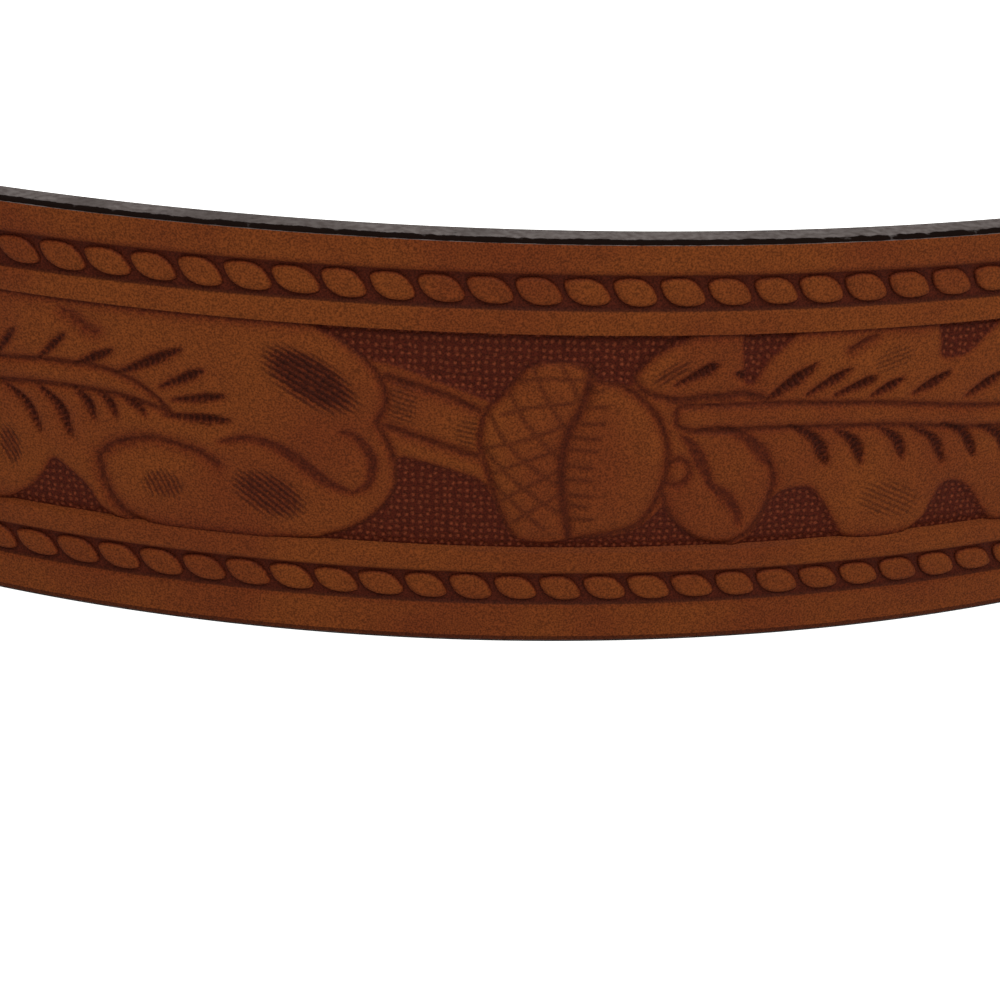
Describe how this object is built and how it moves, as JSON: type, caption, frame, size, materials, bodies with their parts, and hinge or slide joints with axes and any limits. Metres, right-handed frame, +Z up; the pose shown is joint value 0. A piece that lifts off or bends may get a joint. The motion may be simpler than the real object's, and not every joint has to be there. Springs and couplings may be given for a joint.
{
  "type": "western tooled leather belt",
  "caption": "Leather waist belt buckled in a loop, with a rope border and oak leaves and acorns tooled along its outer face.",
  "frame": {"origin": "on the surface that the belt stands on, under the middle of the buckled belt's box", "axes": "+Z up across the strap's width, -Y out of the tooled face at the middle of the belt's front, +Y out of the buckle, +X to the right seen from the front"},
  "size_m": [0.3, 0.3236, 0.049],
  "materials": {
    "tooled_leather": "carved and stamped vegetable-tanned leather, dyed brown and rubbed dark in its recesses, satin",
    "plain_leather": "smooth dyed leather, satin",
    "cast_metal": "cast metal with an antiqued nickel finish"
  },
  "bodies": {
    "root": {"strap": "tooled_leather", "keeper": "plain_leather", "buckle": "cast_metal", "post_1": "cast_metal", "post_2": "cast_metal"}
  },
  "joints": []
}
